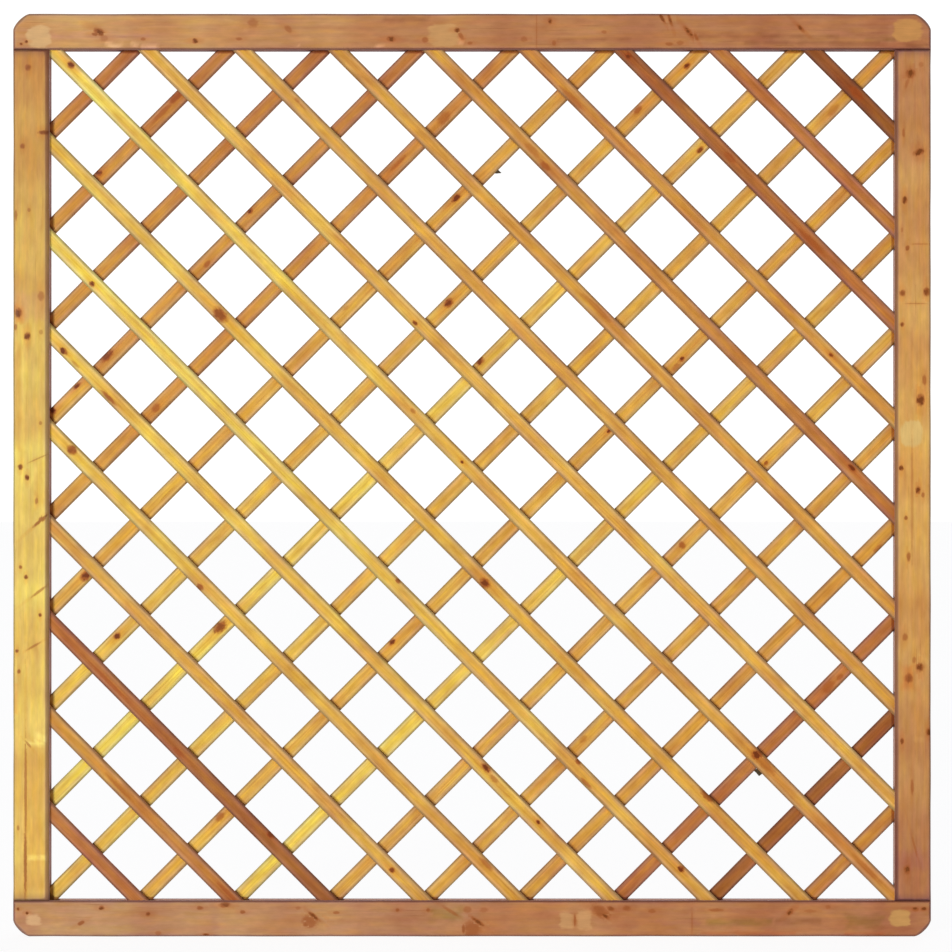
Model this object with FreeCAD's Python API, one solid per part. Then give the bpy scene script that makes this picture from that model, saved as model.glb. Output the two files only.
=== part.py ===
import FreeCAD, Part

import math
import os

from FreeCAD import Placement, Rotation, Vector

# Diagonal trellis panel, in millimetres.
# X runs along the panel from left to right, Y from its front to its back, and Z upwards.
# The origin is the centre of the left stile's outer face, where the panel meets its post.

# Frame
panel_width = 1790.0
panel_height = 1800.0
frame_width = 70.0
frame_thickness = 45.0
corner_radius = 40.0
frame_arris_radius = 6.0
shoulder_radius = 7.0

# Groove along every inner edge of the frame, and the play of what sits in it
groove_depth = 12.0
side_play = 0.25
end_play = 2.0

# Lattice of two layers of slats, the falling ones in front of the rising ones
slat_width = 29.0
slat_thickness = 10.0
slat_arris_radius = 3.0
slats_in_layer = 17
lattice_rise = 6.5

# Sizes that follow from those
groove_width = 2 * (slat_thickness + side_play)
seat_depth = groove_depth - end_play
shoulder_height = panel_height / 2 - frame_width
field_width = panel_width - 2 * (frame_width - seat_depth)
field_height = 2 * (shoulder_height + seat_depth)
# The middle slat of each layer runs from corner to corner, and the others lie parallel to it.
lean = math.atan2(field_height, field_width)
corner_to_corner = field_width * math.sin(lean) + field_height * math.cos(lean)
slat_pitch = corner_to_corner / (slats_in_layer + 1)
panel_centre = Vector(panel_width / 2, 0, 0)
lattice_centre = panel_centre + Vector(0, 0, lattice_rise)


def box_between(low, high):
    """A box from its lowest corner to its highest one."""
    size = Vector(*high) - Vector(*low)
    return Part.makeBox(size.x, size.y, size.z, Vector(*low))


def rounded_along(solid, axis, radius):
    """The solid with every edge that runs along an axis rounded."""
    edges = [edge for edge in solid.Edges if edge.tangentAt(edge.FirstParameter).cross(axis).Length < 1e-6]
    return solid.makeFillet(radius, edges)


def one_solid(shape):
    """The single solid that a cut or a union leaves, with its split faces joined again."""
    return shape.removeSplitter().Solids[0]


def make_top_rail():
    """The full-width rail: rounded outer corners, rounded face edges and a groove in its underside."""
    inner = shoulder_height
    outer = panel_height / 2
    half = frame_thickness / 2
    bend = corner_radius * (1 - math.sqrt(0.5))
    left_arc = Part.Arc(
        Vector(0, -half, outer - corner_radius),
        Vector(bend, -half, outer - bend),
        Vector(corner_radius, -half, outer),
    )
    right_arc = Part.Arc(
        Vector(panel_width - corner_radius, -half, outer),
        Vector(panel_width - bend, -half, outer - bend),
        Vector(panel_width, -half, outer - corner_radius),
    )
    edges = [
        Part.makeLine(Vector(0, -half, inner), left_arc.StartPoint),
        left_arc.toShape(),
        Part.makeLine(left_arc.EndPoint, right_arc.StartPoint),
        right_arc.toShape(),
        Part.makeLine(right_arc.EndPoint, Vector(panel_width, -half, inner)),
        Part.makeLine(Vector(panel_width, -half, inner), Vector(0, -half, inner)),
    ]
    blank = Part.Face(Part.Wire(edges)).extrude(Vector(0, frame_thickness, 0))
    face_edges = [edge for edge in blank.Edges if abs(edge.BoundBox.YLength) < half]
    rounded = blank.makeFillet(frame_arris_radius, face_edges)
    groove = box_between(
        (0, -groove_width / 2, inner),
        (panel_width, groove_width / 2, inner + groove_depth),
    )
    return one_solid(rounded.cut(groove))


def make_left_stile():
    """The upright between the rails: rounded edges and ends, a groove, and a stub tenon at each end."""
    half = frame_thickness / 2
    blank = box_between((0, -half, -shoulder_height), (frame_width, half, shoulder_height))
    long_edges_rounded = rounded_along(blank, Vector(0, 0, 1), frame_arris_radius)
    ends_rounded = rounded_along(blank, Vector(1, 0, 0), shoulder_radius)
    bar = long_edges_rounded.common(ends_rounded)
    # The tenons are the ends of one core, as wide as the wood behind the stile's groove.
    tenon_end = shoulder_height + seat_depth
    core = box_between(
        (0, -groove_width / 2, -tenon_end),
        (frame_width - groove_depth, groove_width / 2, tenon_end),
    )
    groove = box_between(
        (frame_width - groove_depth, -groove_width / 2, -shoulder_height),
        (frame_width, groove_width / 2, shoulder_height),
    )
    return one_solid(bar.fuse(core).cut(groove))


def make_slat_stock():
    """A slat before it is cut to length, centred on the origin and long enough for any place."""
    half_length = math.hypot(field_width, field_height)
    stock = box_between(
        (-half_length, -slat_thickness / 2, -slat_width / 2),
        (half_length, slat_thickness / 2, slat_width / 2),
    )
    return rounded_along(stock, Vector(1, 0, 0), slat_arris_radius)


def make_layer(name, stock, turn, across, depth):
    """One layer of slats, evenly spaced from corner to corner and cut to the field that the groove holds."""
    corner = Vector(-field_width / 2, -frame_thickness, -field_height / 2) + panel_centre
    field = Part.makeBox(field_width, 2 * frame_thickness, field_height, corner)
    slats = {}
    for number in range(1, slats_in_layer + 1):
        offset = slat_pitch * (number - (slats_in_layer + 1) / 2)
        middle = lattice_centre + across * offset + Vector(0, depth, 0)
        bar = stock.copy()
        bar.Placement = Placement(middle, Rotation(Vector(0, 1, 0), math.degrees(turn)))
        slats[f"{name}_{number:02d}"] = one_solid(bar.common(field))
    return slats


top_rail = make_top_rail()
left_stile = make_left_stile()
slat_stock = make_slat_stock()
front_depth = -slat_thickness / 2
back_depth = slat_thickness / 2

pieces = {
    "top_rail": top_rail,
    "bottom_rail": top_rail.mirror(panel_centre, Vector(0, 0, 1)),
    "left_stile": left_stile,
    "right_stile": left_stile.mirror(panel_centre, Vector(1, 0, 0)),
}
up_right = Vector(math.sin(lean), 0, math.cos(lean))
down_right = Vector(math.sin(lean), 0, -math.cos(lean))
pieces.update(make_layer("falling_slat", slat_stock, lean, up_right, front_depth))
pieces.update(make_layer("rising_slat", slat_stock, -lean, down_right, back_depth))

os.makedirs("parts", exist_ok=True)
for name, shape in pieces.items():
    shape.exportStep(f"parts/{name}.step")
    print(f"{name}: {shape.Volume / 1000:.1f} cm3")
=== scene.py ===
# %% [markdown]
# Diagonal trellis panel
# The real object is a framed garden trellis panel in planed and stained softwood: four grooved
# frame members, and a lattice of two layers of thin slats that lie one on the other.
# The measured model is loaded first and never changed. Its pieces are plain, so each one is then
# replaced by a finer mesh of the same stick, in the same place, with a finish of its own.

# %% Load the measured model
import math

import bmesh
import bpy
import numpy as np
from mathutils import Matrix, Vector


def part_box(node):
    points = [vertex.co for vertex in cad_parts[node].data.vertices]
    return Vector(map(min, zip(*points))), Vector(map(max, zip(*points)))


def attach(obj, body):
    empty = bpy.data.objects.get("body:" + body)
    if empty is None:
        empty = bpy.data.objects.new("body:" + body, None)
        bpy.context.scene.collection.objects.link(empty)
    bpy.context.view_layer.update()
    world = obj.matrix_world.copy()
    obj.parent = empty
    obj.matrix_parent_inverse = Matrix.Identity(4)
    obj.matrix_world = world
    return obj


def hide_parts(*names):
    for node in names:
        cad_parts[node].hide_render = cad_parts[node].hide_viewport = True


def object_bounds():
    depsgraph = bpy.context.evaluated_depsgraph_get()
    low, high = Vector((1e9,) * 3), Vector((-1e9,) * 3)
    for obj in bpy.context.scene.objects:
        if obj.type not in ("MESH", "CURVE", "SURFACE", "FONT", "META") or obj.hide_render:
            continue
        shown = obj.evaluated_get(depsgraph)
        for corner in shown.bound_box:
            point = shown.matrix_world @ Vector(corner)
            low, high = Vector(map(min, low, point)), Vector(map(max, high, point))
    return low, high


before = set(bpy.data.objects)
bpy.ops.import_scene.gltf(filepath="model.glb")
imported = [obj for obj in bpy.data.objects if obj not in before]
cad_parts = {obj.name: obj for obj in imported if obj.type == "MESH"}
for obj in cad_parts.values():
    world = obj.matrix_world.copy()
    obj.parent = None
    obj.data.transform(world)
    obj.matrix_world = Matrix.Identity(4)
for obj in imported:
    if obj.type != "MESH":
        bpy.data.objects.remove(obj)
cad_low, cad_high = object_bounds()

names = sorted(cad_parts)
print(f"{len(names)} pieces in a box of {[round(side, 3) for side in cad_high - cad_low]} metres")

# %% [markdown]
# Sizes
# A finish has to lie exactly on its stick, so the main sizes are read from the model's own boxes.
# Only what a box can't tell is named here: the roundings, the slats' width, how far the lattice lies
# above the middle, and the groove. The power says how flat the rails' rounded corners are.

# %% Read the sizes that everything else follows
mm = 0.001
rail_low, rail_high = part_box("top_rail")
stile_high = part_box("left_stile")[1]
slat_names = [name for name in names if "slat" in name]
slat_corners = [corner for name in slat_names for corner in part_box(name)]
field_low = Vector(min(corner[axis] for corner in slat_corners) for axis in range(3))
field_high = Vector(max(corner[axis] for corner in slat_corners) for axis in range(3))

member_width = rail_high.z - rail_low.z
member_thickness = rail_high.y - rail_low.y
seat_depth = stile_high.z - rail_low.z
slats_in_layer = len(slat_names) // 2
slat_thickness = (field_high.y - field_low.y) / 2
slat_width = 29 * mm
lattice_rise = 6.5 * mm
groove_depth = 12 * mm
side_play = 0.25 * mm
groove_width = 2 * (slat_thickness + side_play)
corner_reach = 32 * mm
corner_power = 1.45
member_arris = 6 * mm
shoulder_radius = 7 * mm
slat_arris = 3 * mm

field_size = field_high - field_low
lean = math.atan2(field_size.z, field_size.x)
corner_to_corner = field_size.x * math.sin(lean) + field_size.z * math.cos(lean)
slat_pitch = corner_to_corner / (slats_in_layer + 1)
lattice_centre = (field_low + field_high) / 2 + Vector((0, 0, lattice_rise))
print(f"slats lean {math.degrees(lean):.2f} degrees and lie {slat_pitch / mm:.1f} mm apart")

# %% [markdown]
# The camera
# The photograph shows the panel square on, from about six and a half metres. The inner sides of
# the stiles show which way the lens looked: it stood a little right of the middle. A small sideways
# shift of the lens keeps the panel centred without turning the camera, so upright edges stay
# upright. The same numbers turn a pixel of the photograph into a place on the panel, which is how
# every knot further down finds its stick.

# %% Set the camera as the photograph's
photo_side = 952
view_distance = 6.5
seen_width = 1.8554
camera_x = 1.005
picture_centre_x = 0.9028
picture_centre_z = -0.0017
front_face = cad_low.y

camera_data = bpy.data.cameras.new("photograph_camera")
camera_data.sensor_width = 36
camera_data.lens = camera_data.sensor_width * view_distance / seen_width
camera_data.shift_x = (picture_centre_x - camera_x) / seen_width
camera = bpy.data.objects.new("photograph_camera", camera_data)
camera.location = (camera_x, front_face - view_distance, picture_centre_z)
camera.rotation_euler = (math.pi / 2, 0, 0)
bpy.context.scene.collection.objects.link(camera)
bpy.context.scene.camera = camera


def seen_at(pixel_x, pixel_y, depth):
    """The place that shows at a pixel of the photograph, at a depth on the panel's own Y axis."""
    pixel = seen_width / photo_side
    on_face = Vector((
        picture_centre_x + (pixel_x - photo_side / 2) * pixel,
        front_face,
        picture_centre_z - (pixel_y - photo_side / 2) * pixel,
    ))
    way = on_face - camera.location
    return camera.location + way * ((depth - camera.location.y) / way.y)


print(f"lens {camera_data.lens:.1f} mm, shifted {camera_data.shift_x:.3f} of the picture")

# %% [markdown]
# The studio
# The panel stands on a pale floor in front of nothing: the photograph's background is pure white.
# A white backdrop that lit the panel from behind would wash out its dark inner sides, so the
# backdrop is a wide dome that only the camera sees, and the light comes from lamps and a dim sky.
# The key lamp stands to the left and hardly above the middle, because each front slat throws its
# shadow on the back layer along its upper right side. It is a sun, so it is as strong on the right
# stile as on the left one, and a wide one, so its shadows have soft edges. Key, sky and fill add up
# to 1 on a face that looks at the camera, so a stain's own colour is the colour that shows. The sky
# is a little blue, as the shaded sides are, and the fill comes from below, as light does that a pale
# floor throws back. A last sun lights the rear.

# %% Make the floor and the backdrop
scene = bpy.context.scene
scene.view_settings.view_transform = "Standard"
floor_radius = 60.0
floor_glow = 0.9
floor_paint = 0.15
backdrop_glow = 1.1


def plain_surface(name, paint, glow):
    """A matt white surface that also glows, so that it stays pale in shadow."""
    material = bpy.data.materials.new(name)
    material.use_nodes = True
    shader = material.node_tree.nodes["Principled BSDF"]
    shader.inputs["Base Color"].default_value = (paint, paint, paint, 1)
    shader.inputs["Roughness"].default_value = 1
    shader.inputs["Specular IOR Level"].default_value = 0
    shader.inputs["Emission Color"].default_value = (1, 1, 1, 1)
    shader.inputs["Emission Strength"].default_value = glow
    return material


def into_scene(name, shape, mesh=None):
    """A new object in the scene with the faces of a shape."""
    mesh = mesh or bpy.data.meshes.new(name)
    shape.to_mesh(mesh)
    shape.free()
    piece = bpy.data.objects.new(name, mesh)
    scene.collection.objects.link(piece)
    return piece


def stage_piece(name, shape, material):
    """A piece of the studio, which neither lights nor shades the panel."""
    piece = into_scene(name, shape)
    piece.data.materials.append(material)
    piece.visible_diffuse = False
    piece.visible_glossy = False
    piece.visible_shadow = False
    return piece


shape = bmesh.new()
bmesh.ops.create_circle(shape, cap_ends=True, segments=96, radius=floor_radius)
floor = stage_piece("floor", shape, plain_surface("floor_paint", floor_paint, floor_glow))
floor.location = (cad_high.x / 2, 0, cad_low.z)

shape = bmesh.new()
bmesh.ops.create_uvsphere(shape, u_segments=48, v_segments=24, radius=floor_radius)
backdrop = stage_piece("backdrop", shape, plain_surface("backdrop_white", 0, backdrop_glow))
backdrop.location = floor.location
print(f"{floor.name} and {backdrop.name} reach {floor_radius:.0f} metres")

# %% Set the sky and the suns
key_share = (0.53, 0.52, 0.46)
sky_share = (0.37, 0.38, 0.44)
fill_share = (0.1, 0.1, 0.1)
back_share = (0.5, 0.5, 0.48)
world = bpy.data.worlds.new("dim_sky")
world.use_nodes = True
world.node_tree.nodes["Background"].inputs["Color"].default_value = (*sky_share, 1)
scene.world = world


def sun(name, azimuth, elevation, width, share, glints=False):
    """A sun that adds a share of white to a face across its middle. Azimuth 0 is the camera's side."""
    turn, rise = math.radians(azimuth), math.radians(elevation)
    away = Vector((math.sin(turn) * math.cos(rise), -math.cos(turn) * math.cos(rise), math.sin(rise)))
    data = bpy.data.lights.new(name, "SUN")
    data.angle = math.radians(width)
    data.color = share
    data.energy = math.pi / abs(away.y)
    light = bpy.data.objects.new(name, data)
    light.visible_glossy = glints
    light.rotation_euler = (-away).to_track_quat("-Z", "Y").to_euler()
    scene.collection.objects.link(light)


sun("key_sun", azimuth=-24, elevation=6, width=9, share=key_share, glints=True)
sun("fill_sun", azimuth=50, elevation=-35, width=60, share=fill_share)
sun("back_sun", azimuth=165, elevation=8, width=25, share=back_share)
print(f"{len(bpy.data.lights)} suns and the sky light the panel")

# %% [markdown]
# Sticks
# Every piece is a straight stick, so the same helpers can make them all. A stick has three axes of
# its own: along the grain, across its face, and out of its front. Shapes, knots and growth rings
# are all easier to say in those, and the class below turns them into places on the panel and back.

# %% Give each stick its own axes


class Stick:
    """A straight length of timber: along its grain, across its face and out of its front."""

    def __init__(self, start, along, across):
        self.start = Vector(start)
        self.axes = np.array([along, across, Vector(along).cross(Vector(across))])

    def place(self, along, across, out):
        """Places on the panel, from distances along the stick's axes."""
        return np.stack([along, across, out], -1) @ self.axes + np.array(self.start)

    def measure(self, places):
        """Distances along the stick's axes, from places on the panel."""
        return (np.asarray(places) - np.array(self.start)) @ self.axes.T


member_middle = (rail_low.z + rail_high.z) / 2
half_width = member_width / 2
members = {
    "top_rail": Stick((rail_low.x, 0, member_middle), (1, 0, 0), (0, 0, 1)),
    "bottom_rail": Stick((rail_high.x, 0, -member_middle), (-1, 0, 0), (0, 0, -1)),
    "left_stile": Stick((half_width, 0, -rail_low.z), (0, 0, 1), (-1, 0, 0)),
    "right_stile": Stick((rail_high.x - half_width, 0, rail_low.z), (0, 0, -1), (1, 0, 0)),
}
member_length = {"rail": rail_high.x - rail_low.x, "stile": 2 * rail_low.z}

layers = {
    "falling_slat": ((math.cos(lean), 0, -math.sin(lean)), (math.sin(lean), 0, math.cos(lean))),
    "rising_slat": ((math.cos(lean), 0, math.sin(lean)), (-math.sin(lean), 0, math.cos(lean))),
}
slats = {}
for layer, (along, across) in layers.items():
    front = layer == "falling_slat"
    depth = -slat_thickness / 2 if front else slat_thickness / 2
    spread = Vector(across) if front else -Vector(across)
    for number in range(1, slats_in_layer + 1):
        offset = slat_pitch * (number - (slats_in_layer + 1) / 2)
        start = lattice_centre + spread * offset + Vector((0, depth, 0))
        slats[f"{layer}_{number:02d}"] = Stick(start, along, across)
print(f"{len(members)} frame members and {len(slats)} slats")

# %% [markdown]
# The outline of a stick
# Planed timber has no sharp edges: each long edge, or arris, is rounded. The outline is a closed
# loop of points, first across the front and then back across the rear. Each point keeps four
# numbers, so that the same loop can follow an end that rounds off: its share of the width, how far
# inside the edge it lies, how high it stands between the rear and the front, and how deep it sinks
# into a groove.

# %% Draw the loop of points round a stick
arris_steps = 6
side_level = 0.4
wave_sizes = (1, 0.55, 0.3)


def outline(radius, thickness, face_points, groove=None):
    """The loop of points round a stick, as rows of share, inset, level and sink."""
    turns = np.linspace(0, math.pi / 2, arris_steps + 1)
    insets = radius * (1 - np.cos(turns))
    shares = np.linspace(0, 1, face_points + 2)[1:-1]
    front = [(0, inset, 1, 0) for inset in insets]
    front += [(share, radius, 1, 0) for share in shares]
    front += [(1, inset, 1, 0) for inset in insets[::-1]]
    back = [(share, inset, -level, sink) for share, inset, level, sink in reversed(front)]
    outer_side = [(1, 0, level, 0) for level in (side_level, -side_level)]
    if groove is None:
        inner_side = [(0, 0, level, 0) for level in (-side_level, side_level)]
    else:
        width, depth = groove
        lip = width / 2 / (thickness / 2 - radius)
        inner_side = [(0, 0, -lip, 0), (0, 0, -lip, depth), (0, 0, lip, depth), (0, 0, lip, 0)]
    return np.array(front + outer_side + back + inner_side, float).T


def drop(inset, radius):
    """How far a rounded edge falls below the face, at a distance inside the edge."""
    inside = np.clip(radius - inset, 0, radius)
    return radius - np.sqrt(radius**2 - inside**2)


def wander(places, seed, wavelength=0.3):
    """A smooth random line between 0 and 1 along a stick, the same on each run."""
    dice = np.random.default_rng(seed)
    places = np.asarray(places, float)
    waves = sum(
        size * np.sin(2 * math.pi * (places / (wavelength * size) + dice.random()))
        for size in wave_sizes
    )
    return 0.5 + waves / (2 * sum(wave_sizes))


groove = (groove_width, groove_depth)
member_outline = outline(member_arris, member_thickness, face_points=8, groove=groove)
slat_outline = outline(slat_arris, slat_thickness, face_points=4)
print(f"{member_outline.shape[1]} points round a member and {slat_outline.shape[1]} round a slat")

# %% [markdown]
# From outline to stick
# A stick's mesh is a row of such loops, joined by four-sided faces and closed at both ends. Loops
# that fall together at a rounded end leave faces with no size, which are merged away afterwards.
# A long thin stick would waste most of a square picture, so its surface is unrolled in several
# strips, one above the other. That map is only for baking the finish into pictures.

# %% Unroll a stick
strip_room = 0.9
strip_gap = 0.03
strip_slack = 1.0001
cap_room = 0.01
cap_scale = 0.9


def bake_map(loops, points):
    """Places of every face corner in the unit square: the unrolled sides in strips, then both ends."""
    along = loops[:, 0].mean(1)
    along = along - along[0]
    ring = loops[len(loops) // 2, 1:]
    steps = np.linalg.norm(np.diff(np.append(ring, ring[:, :1], axis=1), axis=1), axis=0)
    girth = np.concatenate([[0], np.cumsum(steps)])
    strips = max(1, round(math.sqrt(along[-1] / girth[-1])))
    strip_length = along[-1] / strips * strip_slack
    row, point = np.indices((len(loops) - 1, points))
    strip = np.floor(along[row] / strip_length)
    room = 1 - 2 * strip_gap
    flat = [
        (
            strip_gap + room * (along[row + ahead] - strip * strip_length) / strip_length,
            strip_room * (strip + strip_gap + room * girth[point + beside] / girth[-1]) / strips,
        )
        for ahead, beside in ((0, 0), (1, 0), (1, 1), (0, 1))
    ]
    sides = np.stack([np.stack(pair, -1) for pair in flat], 2).reshape(-1, 2)
    ends = []
    for index, ring in enumerate((loops[0, 1:], loops[-1, 1:])):
        corner = np.array([cap_room + index / 2, strip_room + cap_room])
        ends.append(corner + (ring - ring.min(1, keepdims=True)).T / strip_length * cap_scale)
    return np.concatenate([sides, ends[0][::-1], ends[1]])


print(f"the strips fill {strip_room:.0%} of the square's height, and the ends the rest")

# %% Sweep loops into a mesh
merge_distance = 1e-6
timber_crease = 32


def smooth(mesh, crease):
    """Shades a mesh smoothly, apart from edges where its faces turn by more degrees than a crease."""
    mesh.shade_smooth()
    mesh.set_sharp_from_angle(angle=math.radians(crease))


def sweep(name, stick, loops):
    """A closed mesh through a row of loops, each given along, across and out of the stick."""
    loops = np.array(loops)
    rows, _, points = loops.shape
    places = stick.place(loops[:, 0], loops[:, 1], loops[:, 2]).reshape(-1, 3)
    row, point = np.indices((rows - 1, points))
    beside = (point + 1) % points
    corners = [row * points + point, (row + 1) * points + point]
    corners += [(row + 1) * points + beside, row * points + beside]
    faces = np.stack(corners, -1).reshape(-1, 4).tolist()
    last = (rows - 1) * points
    faces += [list(range(points))[::-1], list(range(last, last + points))]
    mesh = bpy.data.meshes.new(name)
    mesh.from_pydata(places.tolist(), [], faces)
    mesh.uv_layers.new(name="OFBake").data.foreach_set("uv", bake_map(loops, points).ravel())
    shape = bmesh.new()
    shape.from_mesh(mesh)
    bmesh.ops.remove_doubles(shape, verts=shape.verts, dist=merge_distance)
    bmesh.ops.dissolve_degenerate(shape, edges=shape.edges, dist=merge_distance)
    bmesh.ops.recalc_face_normals(shape, faces=shape.faces)
    piece = into_scene(name, shape, mesh)
    smooth(mesh, timber_crease)
    return piece


print(f"points closer than {merge_distance / mm} mm will be merged")

# %% [markdown]
# The frame members
# The rails run the full width and their outer corners are rounded, so near an end the outer edge
# follows a curve and the loop shrinks with it. The corners were first sawn off and then sanded
# round, which leaves them flatter than a circle. The stiles stand between the rails. Their ends are
# rounded over, which leaves the dark V that shows at each joint, and a stub tenon goes on into the
# rail's groove. Real edges aren't ruled lines, so the outer ones waver by less than a millimetre,
# always inwards, so that the finish stays inside the measured model.

# %% Shape the rails and the stiles
member_step = 5 * mm
end_loops = 15
edge_waver = 0.7 * mm


def member_loop(end_distance, rail, seed, along):
    """One loop of a frame member, at a distance from its nearer end."""
    share, inset, level, sink = member_outline
    inset = np.minimum(inset, end_distance) if rail else inset
    inner = inset - half_width
    outer = half_width - inset
    if rail and end_distance < corner_reach:
        reach = corner_reach - (2 - math.sqrt(2)) * inset
        left_over = np.clip(1 - (end_distance - inset) / reach, 0, 1) ** corner_power
        outer = outer - reach * (1 - (1 - left_over) ** (1 / corner_power))
    waver = edge_waver * min(1, end_distance / corner_reach) * wander(along, seed)
    outer = outer - waver
    across = inner + (outer - inner) * share + sink
    out = level * (member_thickness / 2 - drop(inset, member_arris))
    if not rail:
        limit = member_thickness / 2 - drop(end_distance, shoulder_radius)
        out = np.clip(out, -limit, limit)
    return across, out


def end_distances(length, bend):
    """Distances along a member: close together where an end rounds off, then evenly spaced."""
    turns = np.linspace(0, math.pi / 2, end_loops)
    rounded = bend * (1 - np.cos(turns))
    middle = np.arange(rounded[-1] + member_step, length / 2, member_step)
    half = np.concatenate([rounded, middle])
    return np.concatenate([half, [length / 2], (length - half)[::-1]])


def make_member(name, seed):
    """A rail or a stile, with its tenons."""
    rail = name.endswith("rail")
    length = member_length["rail" if rail else "stile"]
    bend = corner_reach if rail else shoulder_radius
    loops = []
    for along in end_distances(length, bend):
        across, out = member_loop(min(along, length - along), rail, seed, along)
        loops.append((np.full(len(across), along), across, out))
    if not rail:
        core = (
            np.maximum(loops[0][1], groove_depth - half_width),
            np.clip(loops[0][2], -groove_width / 2, groove_width / 2),
        )
        for end, reach in ((0, -seat_depth), (-1, seat_depth)):
            shoulder = loops[end][0]
            tenon = [(shoulder, *core), (shoulder + reach, *core)]
            loops = tenon[::-1] + loops if end == 0 else loops + tenon
    return sweep(f"{name}_timber", members[name], loops)


pieces = {name: make_member(name, seed) for seed, name in enumerate(members)}
for name, piece in pieces.items():
    print(f"{name}: {len(piece.data.polygons)} faces")

# %% [markdown]
# The slats
# A slat is sawn to the slope of the frame's edge where it enters the groove, and the two middle
# ones end in a point, because they run into the corners. Each point of the loop therefore has its
# own start and end along the slat: the places where its line leaves the field inside the grooves.
# Thin slats also bow a little, and no two are quite the same width.

# %% Shape the slats
slat_step = 8 * mm
slat_bow = 0.5 * mm
bow_length = 0.9
width_change = 0.3 * mm
width_draw = 100


def reach_in_field(stick, across):
    """Where a line along the stick, at a distance across it, enters and leaves the field."""
    start = stick.place(np.zeros(len(across)), across, np.zeros(len(across)))
    enter = np.full(len(across), -math.inf)
    leave = np.full(len(across), math.inf)
    for axis in (0, 2):
        step = stick.axes[0][axis]
        ends = [(field_low[axis] - start[:, axis]) / step, (field_high[axis] - start[:, axis]) / step]
        enter = np.maximum(enter, np.minimum(*ends))
        leave = np.minimum(leave, np.maximum(*ends))
    return enter, leave


def make_slat(name, seed):
    """One slat, cut to the field inside the grooves."""
    stick = slats[name]
    share, inset, level, _ = slat_outline
    inner, outer = inset - slat_width / 2, slat_width / 2 - inset
    across = inner + (outer - inner) * share
    out = level * (slat_thickness / 2 - drop(inset, slat_arris))
    enter, leave = reach_in_field(stick, across)
    count = max(2, math.ceil((leave - enter).max() / slat_step))
    loops = []
    for part in np.linspace(0, 1, count + 1):
        along = enter + (leave - enter) * part
        held = math.sin(math.pi * part)
        bow = slat_bow * held * (2 * wander(along, seed, bow_length) - 1)
        width = 1 + width_change / slat_width * (2 * wander(along, seed + width_draw) - 1)
        loops.append((along, across * width + bow, out))
    return sweep(f"{name}_timber", stick, loops)


pieces.update({name: make_slat(name, seed) for seed, name in enumerate(slats, len(members))})
sticks = {**members, **slats}
face_count = sum(len(piece.data.polygons) for piece in pieces.values())
print(f"{len(pieces)} pieces with {face_count} faces")

# %% [markdown]
# The colours of the timber
# No two sticks of a real panel have the same colour: the stain takes differently on heartwood,
# sapwood and planed or torn grain. Each stick is given one to three named stains, and runs evenly
# from one to the next, from its left end to its right or from its top down. A slow random drift
# along the stick is added to that.

# %% Name the stains


def linear(red, green, blue):
    """A colour as a screen shows it, 0 to 255, turned into the light that it stands for."""
    screen = np.array([red, green, blue]) / 255
    return np.where(screen > 0.04045, ((screen + 0.055) / 1.055) ** 2.4, screen / 12.92)


stains = {
    "lemon": (238, 209, 101), "straw": (230, 190, 90), "honey": (223, 174, 84),
    "wheat": (216, 164, 82), "amber": (209, 152, 74), "copper": (199, 136, 69),
    "russet": (185, 117, 65), "umber": (161, 97, 49), "walnut": (148, 85, 41),
    "buff": (233, 202, 102), "cream": (225, 184, 94), "gold": (216, 166, 88),
    "oat": (200, 151, 98), "ginger": (193, 136, 73), "rose": (181, 124, 79),
    "brick": (172, 112, 73),
}
print(f"{len(stains)} stains, from {next(iter(stains))} to {list(stains)[-1]}")

# %% Name each stick's stains
member_stains = {
    "top_rail": "oat rose brick",
    "bottom_rail": "oat rose brick",
    "left_stile": "ginger buff cream",
    "right_stile": "rose gold brick",
}
falling_stains = [
    "russet", "amber russet", "russet umber", "wheat", "straw amber", "straw wheat",
    "lemon amber", "straw amber", "lemon honey copper", "honey wheat", "wheat amber", "amber",
    "amber russet", "copper amber", "umber russet", "russet", "walnut",
]
rising_stains = [
    "copper russet", "amber russet", "amber russet", "wheat russet", "amber copper",
    "honey amber", "straw amber", "lemon wheat", "straw amber", "honey amber", "lemon amber",
    "wheat", "wheat amber", "amber", "russet", "umber", "copper",
]
stick_stains = member_stains | dict(zip(slats, falling_stains + rising_stains))
print(f"{len(stick_stains)} sticks have stains, and the top rail's are {stick_stains['top_rail']}")

# %% [markdown]
# Knots, streaks and plugs
# Knots give softwood its character, and the photograph shows where each large one is. They are
# listed by the pixel where they show, with their half size across and along the grain in
# millimetres, how dark they are and how many degrees they lean from the grain. A streak of resin is
# the same thing drawn out along the grain.
# A plug is a paler piece let into the wood, listed by two of its corners and its colour. Patches are
# listed in the same way: stretches where the stain turned golden, greyed, scuffed off or gathered.

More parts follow.
